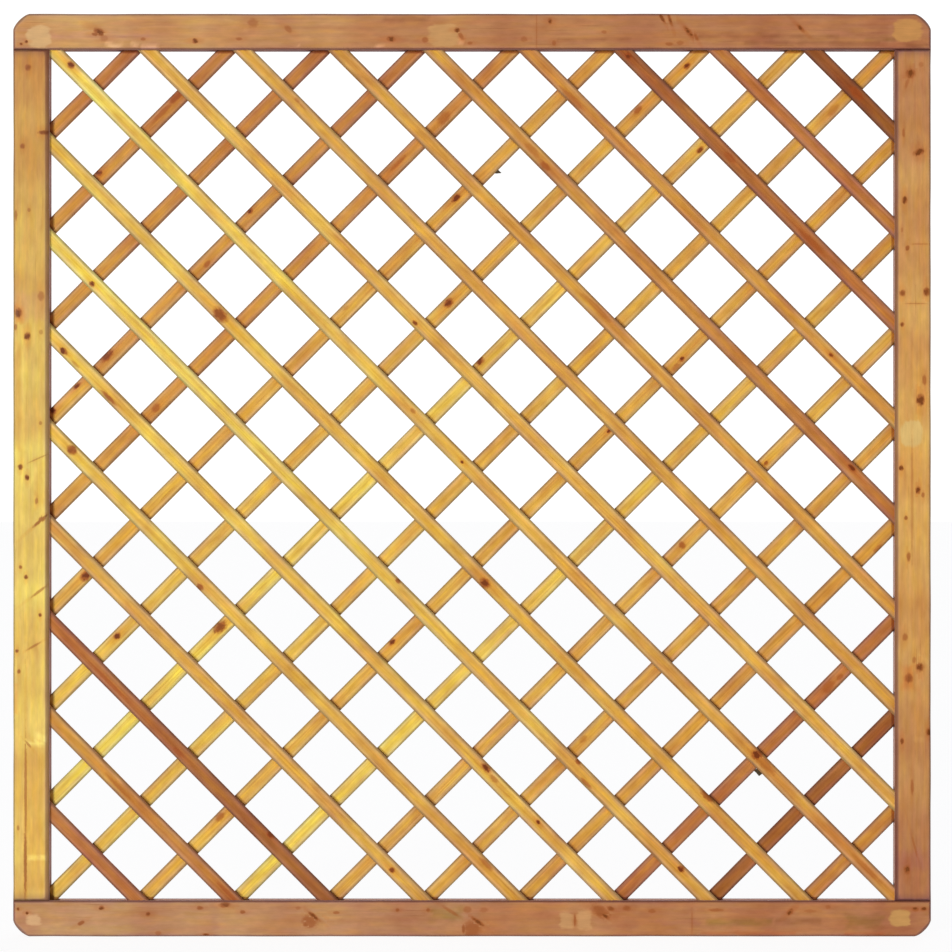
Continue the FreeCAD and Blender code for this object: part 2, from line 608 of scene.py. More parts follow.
# %% List the knots and streaks
knots = {
    "top_rail": [
        (99, 32, 5.5, 9, 1, -30), (95, 34, 3, 5, 0.7), (104, 38, 5, 6, 0.35), (21, 44, 2, 2.5, 0.8),
        (26.5, 41.5, 2.5, 2.5, 1), (143, 39, 2.5, 4, 0.6), (195, 41, 4, 4.5, 1), (239, 39, 2.5, 5, 0.6),
        (253, 23, 7, 8, 0.5), (288, 29, 4, 7, 0.5, -40), (391, 39, 4, 6.5, 1), (425, 40, 4, 5, 0.6),
        (457, 30, 3.5, 4.5, 0.9), (461, 36, 3, 6, 0.6, -60), (470, 43, 2.5, 4, 0.6),
        (550, 21, 4.5, 3.5, 0.9), (524, 39, 4, 5, 0.5), (554, 43, 4, 3, 0.6), (604, 32, 2.5, 4, 0.5),
        (662, 18, 2.5, 9, 0.8, -58), (670, 20, 2.5, 10, 0.8, -72), (688.5, 32, 3.5, 11, 0.9, -50),
        (696, 37, 2.5, 6, 0.7, -60), (669, 44, 2.5, 6, 0.6), (680, 43, 3.5, 5, 0.5),
        (800.5, 28, 2.8, 8, 0.85, -45), (536.5, 30, 30, 0.9, 0.35),
    ],
    "bottom_rail": [
        (81, 923, 3, 6, 0.7, 30), (101.5, 908, 3.5, 4.5, 0.9), (148, 914, 3.2, 4, 0.8),
        (200, 908, 3.2, 5, 0.7), (224.5, 905, 4, 9, 0.8), (242.5, 912, 3, 4, 0.7),
        (298, 908, 2.5, 4, 0.4), (309.5, 921.5, 10, 12, 0.66), (313.5, 916, 3, 11, 0.85, -38),
        (336, 912.5, 2.5, 5, 0.6), (306, 924, 4, 5, 0.7), (397.5, 910, 3, 3, 0.7), (428, 910, 3, 3, 0.7),
        (472, 928.5, 12, 14, 0.66), (477.5, 921.5, 3, 12, 0.85, -36), (463.5, 929, 7, 2.5, 0.7),
        (451, 911.5, 2.5, 15, 0.5, -32), (484, 910, 4, 6, 0.4), (467.5, 909.5, 5, 6, 0.5),
        (600.5, 911.5, 8, 15, 0.68, -32), (605, 916, 3, 8, 0.85, -32), (610.5, 908.5, 3.5, 6, 0.75, -20),
        (626.5, 908.3, 4, 6, 0.7), (574.8, 920, 9, 1.8, 0.65), (716, 910, 2.5, 11, 0.6),
        (790, 912, 4, 6, 0.95, 40), (810, 911, 2.5, 9, 0.4), (828, 907, 3, 4, 0.5),
        (692, 922, 20, 1, 0.4), (206, 934.5, 2, 5, 0.8), (18, 909, 2.5, 2.5, 0.8),
        (27, 913, 2.8, 2.4, 0.9), (915.3, 909.2, 3.4, 5.5, 1), (923.3, 909, 3, 4.8, 1),
        (652, 911, 3, 6, 0.6), (158, 933, 3, 5, 0.5),
    ],
    "left_stile": [
        (28, 67.5, 4.5, 5, 0.75), (22.5, 146, 4, 4, 0.7), (43.5, 132.5, 8, 3.5, 0.8),
        (18.3, 313, 5.5, 8, 0.85), (41, 296, 5, 7, 0.5), (29, 210, 2.5, 3, 0.5), (27.5, 336, 5, 6, 1),
        (15.5, 327, 2.5, 5, 0.6), (41, 332, 3, 4, 0.4), (40.5, 423, 2.5, 3, 0.5),
        (38, 458.5, 16, 1.2, 0.4, 24), (20.5, 467, 4, 4.5, 0.8), (27, 477.5, 3.6, 4.5, 0.9),
        (36.5, 501, 2.5, 5, 0.55), (40, 521, 2.4, 15, 0.7, -48), (42, 519, 4, 6, 0.7, -48),
        (20.5, 567, 2.6, 3, 0.7), (26, 577, 3, 3.5, 0.8), (39, 591.5, 2, 14, 0.55, -53),
        (40, 615, 2.6, 3, 0.8), (34, 646, 1.8, 12, 0.5, -60), (17, 651, 2.5, 3, 0.8),
        (19, 671.5, 2.5, 3.5, 0.7), (25.3, 862, 2.4, 54, 0.68), (25.6, 790, 2, 84, 0.55),
        (28, 744, 1.8, 7, 0.5, 40), (18, 828, 2, 4, 0.5), (16, 215, 2, 8, 0.6),
    ],
    "right_stile": [
        (910.5, 73.5, 7, 7, 0.9, -30), (907, 83, 2.4, 9, 0.4, -20), (921, 64.5, 4, 4, 0.35),
        (919, 152, 9, 5, 0.95, 24), (904.6, 200, 4, 6, 1), (903.5, 133, 2, 7, 0.6), (902, 230, 2, 4, 0.4),
        (907.4, 248, 3, 4, 0.7), (920, 244, 14, 1.1, 0.35), (902.5, 293, 4.5, 5, 0.75),
        (926.5, 292, 5, 7, 0.8), (916, 303.5, 15, 1.1, 0.4), (902.3, 324.5, 3.2, 3.6, 0.8),
        (924.5, 380, 3, 8, 0.6), (920.5, 400, 6.5, 9, 1), (901, 468, 3.5, 4.5, 0.85),
        (918, 490, 4, 5.5, 0.9), (923, 495, 2.5, 4, 0.6), (906, 518, 2.6, 3.5, 0.7),
        (908.5, 556.5, 3, 7, 0.65), (905, 637, 4, 6, 0.6), (920, 667, 6, 7, 0.85), (909, 678, 6, 7, 0.75),
        (914, 660, 3, 5, 0.5), (902, 741, 3, 5, 0.8), (928.5, 732, 4, 6, 1), (912, 787, 2.5, 11, 0.6),
        (907, 870, 5, 7, 0.95), (915, 848, 1.6, 18, 0.4, 15), (912, 500, 2, 90, 0.3),
    ],
    "falling_slat_02": [(228, 893, 3, 25, 0.5), (120, 788, 3, 30, 0.4)],
    "falling_slat_03": [(270, 835, 4.5, 7, 0.8), (178, 752, 4, 10, 0.5), (109, 682, 3, 40, 0.5)],
    "falling_slat_04": [(392, 870, 4, 5, 0.8)],
    "falling_slat_05": [(72, 450, 7, 8, 0.75), (200, 587, 4, 6, 0.7), (486, 864, 4, 14, 0.5)],
    "falling_slat_06": [
        (63.5, 351, 4.5, 7, 1), (75, 364, 2, 8, 0.35), (109, 398, 3, 16, 0.7), (486, 768, 5, 9, 0.9),
        (494, 779, 4, 8, 0.4), (538, 822, 3, 4, 1),
    ],
    "falling_slat_07": [
        (92, 284, 4, 5, 1), (398, 581, 3, 5, 0.7), (578, 762, 3, 5, 0.7), (586, 783, 2.5, 12, 0.6),
        (681, 869, 5, 6, 1),
    ],
    "falling_slat_08": [
        (220, 315, 9, 13, 0.75), (485, 583, 7, 9, 0.85), (707, 796, 5, 14, 0.7), (448, 642, 3, 12, 0.6),
    ],
    "falling_slat_09": [
        (71, 65, 5, 6, 1), (413, 411, 3, 5, 0.5), (462, 462, 2.5, 3, 1), (757, 755, 8, 9, 1),
        (764, 763, 7, 22, 0.5), (866, 868, 4, 30, 0.4),
    ],
    "falling_slat_10": [(415, 323, 3, 5, 0.8)],
    "falling_slat_11": [(297, 100, 3, 5, 0.3), (592, 403, 3, 20, 0.15)],
    "falling_slat_12": [(598, 309, 4, 30, 0.4)],
    "falling_slat_13": [(545, 166, 5, 9, 0.6), (532, 150, 5, 16, 0.35), (852, 468, 4, 8, 0.9)],
    "falling_slat_14": [(831, 355, 3, 4, 0.8), (572, 99, 5, 24, 0.5)],
    "falling_slat_15": [(628, 56, 5, 6, 1), (730, 158, 5, 12, 0.5), (812, 243, 5, 30, 0.5)],
    "falling_slat_17": [(856, 93, 6, 14, 0.7)],
    "rising_slat_02": [(99, 173, 5, 5, 1), (176, 97, 5, 14, 0.7), (162, 113, 4, 20, 0.5)],
    "rising_slat_04": [
        (53, 411, 5, 5, 1), (77, 386, 3, 7, 0.9), (107, 356, 6, 12, 0.8), (250, 211, 4, 5, 1),
        (207, 264, 4, 6, 0.6),
    ],
    "rising_slat_05": [(156, 408, 5, 8, 0.6), (444, 118, 7, 12, 0.5), (398, 163, 3, 18, 0.5)],
    "rising_slat_06": [(85.5, 576, 7, 9, 1), (456, 198, 5, 8, 0.9), (346, 308, 2.5, 5, 0.25)],
    "rising_slat_07": [
        (117, 636, 4.5, 6, 1), (448.5, 303, 6, 8, 0.85), (687, 66, 4, 6, 1), (638, 110, 4, 8, 0.6),
    ],
    "rising_slat_08": [(220, 627, 8, 12, 0.78), (480, 361, 5.5, 7, 0.85), (700, 150, 4, 7, 0.8)],
    "rising_slat_09": [(833, 110, 5, 12, 0.4)],
    "rising_slat_10": [
        (220, 817, 5, 9, 0.6), (392, 642, 4, 6, 0.9), (609, 431, 3, 4, 0.9), (682, 359, 3.5, 4.5, 1),
        (676, 367, 4, 8, 0.45),
    ],
    "rising_slat_12": [(682, 545, 6, 5, 0.65), (766, 463, 3, 4, 0.7)],
    "rising_slat_13": [(583, 739, 4, 7, 0.4)],
    "rising_slat_14": [(878, 548, 3, 9, 0.5)],
    "rising_slat_15": [(828, 687, 7, 12, 0.5), (840, 677, 4, 6, 0.5)],
}
print(f"{sum(map(len, knots.values()))} knots and streaks on {len(knots)} sticks")

# %% List the plugs and patches
plugs = {
    "top_rail": [
        (26, 25, 51, 49, (214, 171, 117)), (428, 24, 459, 47, (196, 146, 91)),
        (893, 19, 922, 42, (195, 139, 77)),
    ],
    "bottom_rail": [
        (26, 914, 42, 925, (214, 168, 120)), (559, 912, 575, 929, (197, 146, 95)),
        (576, 909, 592, 930, (199, 147, 96)), (890, 909, 910, 927, (193, 144, 82)),
    ],
    "right_stile": [(900, 420, 923, 447, (218, 182, 112))],
}
patch_changes = {
    "golden": (1.02, 1.07, 0.98),
    "rosy": (0.89, 0.87, 1.02),
    "cooled": (0.95, 0.97, 1.12),
    "shaded": (0.92, 0.91, 0.94),
    "greyed": (0.95, 0.88, 1.16),
    "scuffed": (1.45, 1.6, 1.95),
    "pale": (1.09, 1.16, 1.18),
    "olive": (0.78, 0.86, 0.62),
    "dark": (0.78, 0.72, 0.68),
    "reddened": (1.0, 0.8, 0.66),
    "warmed": (0.96, 0.87, 0.78),
    "bright": (1.22, 1.48, 1.75),
}
patches = {
    "top_rail": [
        (16, 15, 105, 23, "golden"), (168, 16, 243, 26, "golden"), (255, 18, 262, 24, "golden"),
        (30, 33, 150, 38, "greyed"), (106, 43, 123, 47, "scuffed"), (132, 43, 137, 47, "scuffed"),
        (140, 45, 157, 49, "scuffed"), (243, 29, 249, 33, "pale"), (296, 44, 300, 47, "scuffed"),
        (258, 41, 292, 43, "pale"), (376, 45, 384, 47, "scuffed"), (557, 39, 630, 42, "dark"),
        (743, 42, 880, 44, "dark"), (864, 37, 897, 40, "olive"), (384, 16, 430, 22, "dark"),
        (455, 35, 466, 40, "reddened"), (697, 33, 780, 37, "dark"), (770, 36, 840, 39, "dark"),
        (905, 43, 929, 48, "dark"), (888, 24, 894, 44, "pale"), (457, 40, 463, 45, "scuffed"),
    ],
    "bottom_rail": [
        (0, 885, 218, 950, "rosy"), (212, 885, 480, 950, "cooled"), (846, 915, 884, 928, "olive"),
        (706, 919, 772, 926, "olive"), (775, 919, 822, 924, "dark"), (700, 931, 796, 935, "reddened"),
        (845, 932, 884, 935, "reddened"), (610, 917, 625, 928, "pale"), (430, 908, 464, 920, "olive"),
        (655, 921, 700, 924, "greyed"), (14, 903, 44, 912, "golden"), (40, 926, 150, 933, "golden"),
        (316, 921, 326, 931, "golden"), (455, 915, 464, 924, "pale"), (204, 902, 226, 906, "pale"),
        (885, 902, 930, 907, "golden"),
    ],
    "left_stile": [
        (14, 292, 46, 321, "greyed"), (27, 741, 46, 746, "bright"), (36, 734, 46, 741, "bright"),
        (28, 855, 46, 860, "bright"), (25, 345, 36, 650, "shaded"), (14, 683, 17, 715, "reddened"),
        (14, 305, 24, 322, "reddened"), (15, 212, 24, 240, "golden"), (34, 459, 46, 505, "warmed"),
        (26, 735, 46, 890, "warmed"), (14, 340, 20, 450, "warmed"), (22, 340, 27, 450, "pale"),
    ],
    "right_stile": [
        (905, 60, 912, 66, "golden"), (918, 655, 928, 664, "pale"), (902, 665, 915, 690, "reddened"),
        (913, 737, 924, 742, "pale"), (896, 850, 929, 870, "greyed"),
    ],
}
print(f"{sum(map(len, plugs.values()))} plugs and {sum(map(len, patches.values()))} patches")

# %% [markdown]
# Writing the finish onto the mesh
# A material can read values that a mesh stores at its points or at the corners of its faces. Each
# stick stores its own wood coordinates, measured from the heart of the tree it was cut from, so
# growth rings run through it as through a real board. It also stores its stain, how far each point
# lies from the rim, from a plug's border and from the sticks that it meets, and the way to the
# nearest knot.

# %% Read and write what a mesh stores
kinds = {1: ("FLOAT", "value"), 3: ("FLOAT_VECTOR", "vector"), 4: ("FLOAT_COLOR", "color")}
whole_fields = ("vertex_index", "loop_total")


def store(mesh, name, values, domain="POINT"):
    """Writes numbers, vectors or colours onto a mesh under a name that materials can read."""
    values = np.asarray(values, np.float32)
    kind, field = kinds[values[0].size]
    mesh.attributes.new(name, kind, domain).data.foreach_set(field, values.ravel())


def with_alpha(colours):
    """Colours with a 1 as their fourth number."""
    return np.column_stack([colours, np.ones(len(colours))])


def fetch(items, field, width=1):
    """Reads one field of every item of a mesh as an array."""
    values = np.zeros(len(items) * width, np.int32 if field in whole_fields else np.float32)
    items.foreach_get(field, values)
    return values.reshape(-1, width) if width > 1 else values


print(f"the left stile has {len(fetch(pieces['left_stile'].data.vertices, 'co', 3))} points")

# %% Blend the stain and its patches
drift_length, drift_draw = 0.24, 300
stain_drift = np.array([0.16, 0.32, 0.27])
patch_softness = (3, 12)
patch_wave_length = 0.06


def stain_along(name, stick, spots, seed):
    """The stain at each point along the stick.

    The names run from the left or from the top, so a stick that starts at its other end is turned.
    """
    along = spots[:, 0]
    share = (along - along.min()) / np.ptp(along)
    backwards = stick.axes[0][0] < -0.5 or stick.axes[0][2] > 0.9
    share = 1 - share if backwards else share
    colours = np.array([linear(*stains[stain]) for stain in stick_stains[name].split()])
    places = np.linspace(0, 1, len(colours))
    stain = np.stack([np.interp(share, places, each) for each in colours.T], -1)
    drift = wander(along, seed + drift_draw, drift_length) - 0.5
    return stain * (1 + drift[:, None] * stain_drift)


def marked_field(stick, depth, left, top, right, bottom):
    """The middle and the half sides of a marked field, along and across its stick."""
    corners = stick.measure([seen_at(left, top, depth), seen_at(right, bottom, depth)])[:, :2]
    return corners.mean(0), np.abs(corners[1] - corners[0]) / 2


def patched(name, stick, depth, stain, spots):
    """The stain with the listed patches, each softened over a few millimetres."""
    for *edges, change in patches.get(name, ()):
        middle, half = marked_field(stick, depth, *edges)
        softness = np.clip(half.min() / mm, *patch_softness)
        border = (half - np.abs(spots[:, :2] - middle)).min(1) / mm + softness / 3
        waver = wander(spots[:, 0] + 2 * spots[:, 1], edges[0], patch_wave_length) - 0.5
        border = border + softness * waver
        amount = np.where(spots[:, 2] > 0, np.clip(border / softness, 0, 1), 0)[:, None]
        stain = stain * (1 + amount * (np.array(patch_changes[change]) - 1))
    return stain


first_plug = marked_field(members["top_rail"], front_face, *plugs["top_rail"][0][:4])
print(f"the top rail's first plug is {2 * first_plug[1][0] / mm:.0f} mm long")

# %% Measure the way to rims, grooves and other sticks
far = 1e3
# The band of painted edge shade on the rising slats' upper left edges is narrower by twice this.
rising_edge_shade_shift = 0.4 * mm
inner_shade = {
    "top_rail": -1.5 * mm, "bottom_rail": -1.5 * mm, "left_stile": 3 * mm, "right_stile": 1.8 * mm,
}
corner_cut = 0.85
lip_slack, groove_slack = 0.1 * mm, 1 * mm


def rim_distance(name, spots):
    """How far each point lies from the outline of its stick's face, in millimetres."""
    along, across = spots[:, 0], spots[:, 1]
    if name in slats:
        edge_shade_shift = rising_edge_shade_shift if name.startswith("rising") else 0
        return (slat_width / 2 - np.abs(across - edge_shade_shift) + edge_shade_shift) / mm
    kind = name.split("_")[1]
    end = np.minimum(along, member_length[kind] - along)
    outer = half_width - across
    corner = (end + outer - corner_cut * corner_reach) / math.sqrt(2) if kind == "rail" else end
    inner = half_width + across - inner_shade[name]
    return np.minimum.reduce([end, outer, corner, inner]) / mm


def meeting_with_slats(name, stick, spots):
    """Where a slat's points lie between the other layer's slats, if they face those, and a 1.

    A frame member has a 1 on its half beside the lattice, a 1 where it sinks into its groove, and a 0.
    """
    if name in members:
        lip = spots[:, 2].max() - member_arris + lip_slack
        sunk = (np.abs(spots[:, 2]) < lip) & (spots[:, 1] < groove_depth - half_width + groove_slack)
        return np.column_stack([spots[:, 1] < 0, sunk, np.zeros(len(spots))])
    front = name.startswith("falling")
    spread = Vector(layers["rising_slat"][1]) * -1 if front else Vector(layers["falling_slat"][1])
    places = stick.place(*spots.T) - np.array(lattice_centre)
    crossing = places @ np.array(spread) / slat_pitch
    facing = np.clip(spots[:, 2] / (slat_thickness / 2), -1, 1) * (-1 if front else 1)
    return np.column_stack([crossing, np.maximum(facing, 0), np.ones(len(spots))])


def inside_frame(places):
    """How far places lie inside the stiles, and how far inside the rails."""
    x, z = places[..., 0], places[..., 2]
    return np.minimum(x - stile_high.x, rail_high.x - stile_high.x - x), rail_low.z - np.abs(z)


def frame_gap(name, stick, spots):
    """How many millimetres a stile's points lie clear of the rails, or a rear slat's of the frame."""
    beside, between = inside_frame(stick.place(*spots.T))
    if name.startswith("rising"):
        return np.minimum(beside, between) / mm
    return between / mm if name.endswith("stile") else np.full(len(spots), far)


middle_gaps = [float(gap) for gap in inside_frame(np.array(lattice_centre))]
print(f"the lattice's middle lies {[round(gap, 3) for gap in middle_gaps]} metres inside the frame")

# %% Find the nearest knot and plug
nowhere = (far, far, mm, 0)
knot_room = 3 * mm
plug_power = 3.2
plug_reach = 200


def marks_on(name, stick, depth):
    """The listed knots of a stick: place along and across it, half sizes, darkness and lean."""
    rows = []
    for pixel_x, pixel_y, across, along, darkness, *lean_degrees in knots.get(name, ()):
        spot = stick.measure(seen_at(pixel_x, pixel_y, depth))
        leaning = math.radians(sum(lean_degrees))
        rows.append((spot[0], spot[1], along * mm, across * mm, darkness, leaning))
    return np.array(rows).reshape(-1, 6)


def way_to(marks, spots):
    """The way from marks to points, along and across each mark."""
    away = spots[..., :2] - marks[..., :2]
    cosine, sine = np.cos(marks[..., 5]), np.sin(marks[..., 5])
    along = away[..., 0] * cosine + away[..., 1] * sine
    return np.stack([along, away[..., 1] * cosine - away[..., 0] * sine], -1)


def nearest_marks(marks, corners, corner_face, centres):
    """For each face corner, the way to the mark nearest to its face, in half sizes of that mark."""
    if not len(marks):
        return np.tile(nowhere, (len(corners), 1))
    ways = way_to(marks, centres[:, None]) / (marks[:, 2:4] + knot_room)
    chosen = marks[np.argmin(np.square(ways).sum(-1), 1)][corner_face]
    return np.column_stack([way_to(chosen, corners) / chosen[:, 2:4], chosen[:, 3], chosen[:, 4]])


def nearest_plug(name, stick, depth, spots):
    """For each point: how many millimetres it lies inside a plug's border, and that plug's stain."""
    inside = np.full(len(spots), -far)
    stain = np.zeros((len(spots), 3))
    for *edges, colour in plugs.get(name, ()):
        middle, half = marked_field(stick, depth, *edges)
        reach = (np.abs((spots[:, :2] - middle) / half) ** plug_power).sum(1) ** (1 / plug_power)
        border = np.where(spots[:, 2] > 0, (1 - reach) * half.min() / mm, -far)
        stain[border > np.maximum(inside, -plug_reach)] = linear(*colour)
        inside = np.maximum(inside, border)
    return inside, stain


first_mark = marks_on("left_stile", members["left_stile"], front_face)[0]
print(f"the left stile's first knot lies {first_mark[0]:.3f} metres along it")

# %% Write the finish onto every stick
finish_draw = 1000
stick_spacing = 3
heart_aside = 30
heart_below = (25, 80)
ring_scales = (0.8, 1.25)


def write_finish(name, seed):
    """Stores everything that the timber material reads on one piece."""
    mesh, stick = pieces[name].data, sticks[name]
    dice = np.random.default_rng(finish_draw + seed)
    spots = stick.measure(fetch(mesh.vertices, "co", 3))
    depth = stick.start.y - spots[:, 2].max()
    heart = (dice.uniform(-heart_aside, heart_aside) * mm, -dice.uniform(*heart_below) * mm)
    grain = spots - np.array([-stick_spacing * seed, *heart])
    grain[:, 1:] *= dice.uniform(*ring_scales)
    store(mesh, "grain", grain / mm)
    stain = patched(name, stick, depth, stain_along(name, stick, spots, seed), spots)
    store(mesh, "stain", with_alpha(stain))
    facing = np.abs(fetch(mesh.vertices, "normal", 3) @ stick.axes[2])
    store(mesh, "side", 1 - facing)
    store(mesh, "rim", rim_distance(name, spots))
    store(mesh, "meeting", meeting_with_slats(name, stick, spots))
    store(mesh, "frame_gap", frame_gap(name, stick, spots))
    corner_point = fetch(mesh.loops, "vertex_index")
    face_sizes = fetch(mesh.polygons, "loop_total")
    corner_face = np.repeat(np.arange(len(face_sizes)), face_sizes)
    centres = stick.measure(fetch(mesh.polygons, "center", 3))
    way = nearest_marks(marks_on(name, stick, depth), spots[corner_point], corner_face, centres)
    store(mesh, "knot", way, domain="CORNER")
    inside, plug_stain = nearest_plug(name, stick, depth, spots)
    store(mesh, "plug", inside)
    store(mesh, "plug_stain", with_alpha(plug_stain))


for seed, name in enumerate(pieces):
    write_finish(name, seed)
print(f"each piece now stores {sorted(pieces['top_rail'].data.attributes.keys())}")

# %% [markdown]
# Writing materials as sums
# A material is a network of small nodes. Written as Python expressions it reads like the sum it is,
# so one class wraps a socket and turns each operator into a Math node, and one method makes any
# other node from its type, its settings and what goes into its sockets.

# %% Wrap sockets in a class


class Socket:
    """A number, colour or vector inside a material, which operators turn into Math nodes."""

    def __init__(self, finish, output):
        self.finish = finish
        self.output = output

    def math(self, operation, *others):
        """Adds one Math node."""
        inputs = dict(enumerate((self, *others)))
        return self.finish.node("ShaderNodeMath", {"operation": operation}, inputs)

    def __add__(self, other):
        return self.math("ADD", other)

    __radd__ = __add__

    def __mul__(self, other):
        return self.math("MULTIPLY", other)

    __rmul__ = __mul__

    def __sub__(self, other):
        return self.math("SUBTRACT", other)

    def __rsub__(self, other):
        return self.math("MULTIPLY", -1) + other

    def __truediv__(self, other):
        return self.math("DIVIDE", other)

    def __rtruediv__(self, other):
        return self.math("POWER", -1) * other

    def __pow__(self, other):
        return self.math("POWER", other)

    def __abs__(self):
        return self.math("ABSOLUTE")


print("a Socket turns +, -, *, /, ** and abs() into Math nodes")

# %% Gather a material's nodes in a class


class Finish:
    """A material that is being built, with its surface shader ready."""

    def __init__(self, name):
        self.material = bpy.data.materials.new(name)
        self.material.use_nodes = True
        self.tree = self.material.node_tree
        self.shader = self.tree.nodes["Principled BSDF"]

    def node(self, kind, settings=None, inputs=None, output=0):
        """Adds one node: its settings first, then what goes into its sockets. Returns one output."""
        node = self.tree.nodes.new(kind)
        for setting, value in (settings or {}).items():
            setattr(node, setting, value)
        for key, value in (inputs or {}).items():
            self.feed(self.find(node.inputs, key), value)
        return Socket(self, self.find(node.outputs, output))

    @staticmethod
    def find(sockets, key):
        """A socket by its number, or else by its name or identifier."""
        if isinstance(key, int):
            return sockets[key]
        return next(socket for socket in sockets if key in (socket.identifier, socket.name))

    def feed(self, socket, value):
        """Links a socket to another one, or sets its value."""
        if isinstance(value, Socket):
            self.tree.links.new(value.output, socket)
        else:
            socket.default_value = value

    def stored(self, name, output="Vector"):
        """What the mesh stores under a name."""
        return self.node("ShaderNodeAttribute", {"attribute_name": name}, output=output)

    def split(self, vector):
        """The three numbers of a vector."""
        return [self.node("ShaderNodeSeparateXYZ", inputs={0: vector}, output=axis) for axis in range(3)]

    def fade(self, value, start, end, low=0.0, high=1.0):
        """A soft step between two numbers."""
        inputs = {"Value": value, "From Min": start, "From Max": end, "To Min": low, "To Max": high}
        return self.node("ShaderNodeMapRange", {"interpolation_type": "SMOOTHSTEP"}, inputs)

    def mix(self, factor, first, second, blend="MIX"):
        """Two colours mixed by a factor."""
        inputs = {"Factor_Float": factor, "A_Color": first, "B_Color": second}
        return self.node("ShaderNodeMix", {"data_type": "RGBA", "blend_type": blend}, inputs, "Result_Color")

    def scaled(self, colour, factor):
        """A colour made lighter or darker."""
        inputs = {"Vector": colour, "Scale": factor}
        return self.node("ShaderNodeVectorMath", {"operation": "SCALE"}, inputs)


trial = Finish("trial")
trial.stored("grain") * 2 + 1
print(f"a stored value, a product and a sum are {len(trial.tree.nodes) - 2} nodes")
bpy.data.materials.remove(trial.material)

# %% [markdown]
# Stained softwood
# A board shows the tree's growth rings where the saw cut through them: pale early wood that darkens
# into a thin line of late wood. The distance from the heart of the tree gives the rings, a slow
# noise makes them waver, and near a knot they are pushed aside, as the grain of a tree grows round
# a branch. Longer streaks and soft blotches of stain lie over that, and finer fibres under it.
# The knots are darker, each in a flush of reddened wood. Every arris is darker, partly deeper stain
# and partly painted shade where the rounding turns from the light, and a band just inside it is a
# painted highlight. The side faces are painted lighter, as painted light, and the frame's inner lips
# and grooves are greyed with painted shade and light. Painted shadows darken the faces where the two
# layers of slats cross, and the rear slats where they run into the frame, and painted shade darkens
# the stiles' ends next to the rails. Late wood and knots stand a little proud in the bump, and
# cracks sink. `thin` is 1 on a slat and 0 on a frame member.

# %% Name the timber's measures and tones
ring_width = 3.2
slow_waver, quick_waver = 16, 2.2
knot_stretch = 0.45
knot_wobble = 0.9
knot_push, push_softness = 900, 0.45
plain_shade = 1.03
flush_cover = 0.45
plug_cover = 0.92
plug_fray = 16
halo_cover = 0.5
body_cover = 0.85
heart_cover = 0.95
groove_cover = 0.85
end_shadow_cover = 0.8
crossing_shade_cover, crossing_shade_limit = 0.75, 0.9
arris_band = (6.0, 2.0)
slat_edge = slat_width / 2 / mm
slat_knot_heart = (*linear(112, 46, 0), 1)
frame_knot_heart = (*linear(118, 60, 12), 1)
slat_knot_body = (*linear(158, 72, 18), 1)
frame_knot_body = (*linear(157, 84, 36), 1)
knot_flush = (0.92, 0.64, 0.4, 1)
golden_tone = (1.04, 1.06, 0.82, 1)
mauve_tone = (0.98, 0.93, 1.08, 1)
warm_stain = (1.0, 0.84, 0.66, 1)
edge_highlight_band = (0.99, 1.09, 1.65, 1)
deep_middle = (1.0, 0.99, 0.72, 1)
arris_stain_and_shade = (0.58, 0.59, 0.7, 1)
side_painted_light = (1.3, 1.2, 1.3, 1)
inner_arris_shade = (0.83, 0.7, 0.78, 1)
lip_shade_colour = (*linear(150, 124, 115), 1)
groove_wall_lift = (*linear(205, 168, 158), 1)
end_shade = (0.68, 0.64, 0.9, 1)
slat_end_shadow = (0.5, 0.26, 0.12, 1)
deep_tint = (0.66, 0.48, 0.3, 1)
crossing_shade_tone = (0.42, 0.33, 0.28, 1)
print(f"growth rings are {ring_width} mm wide, and a slat's edge lies {slat_edge:.1f} mm from its middle")

# %% Build the timber finish


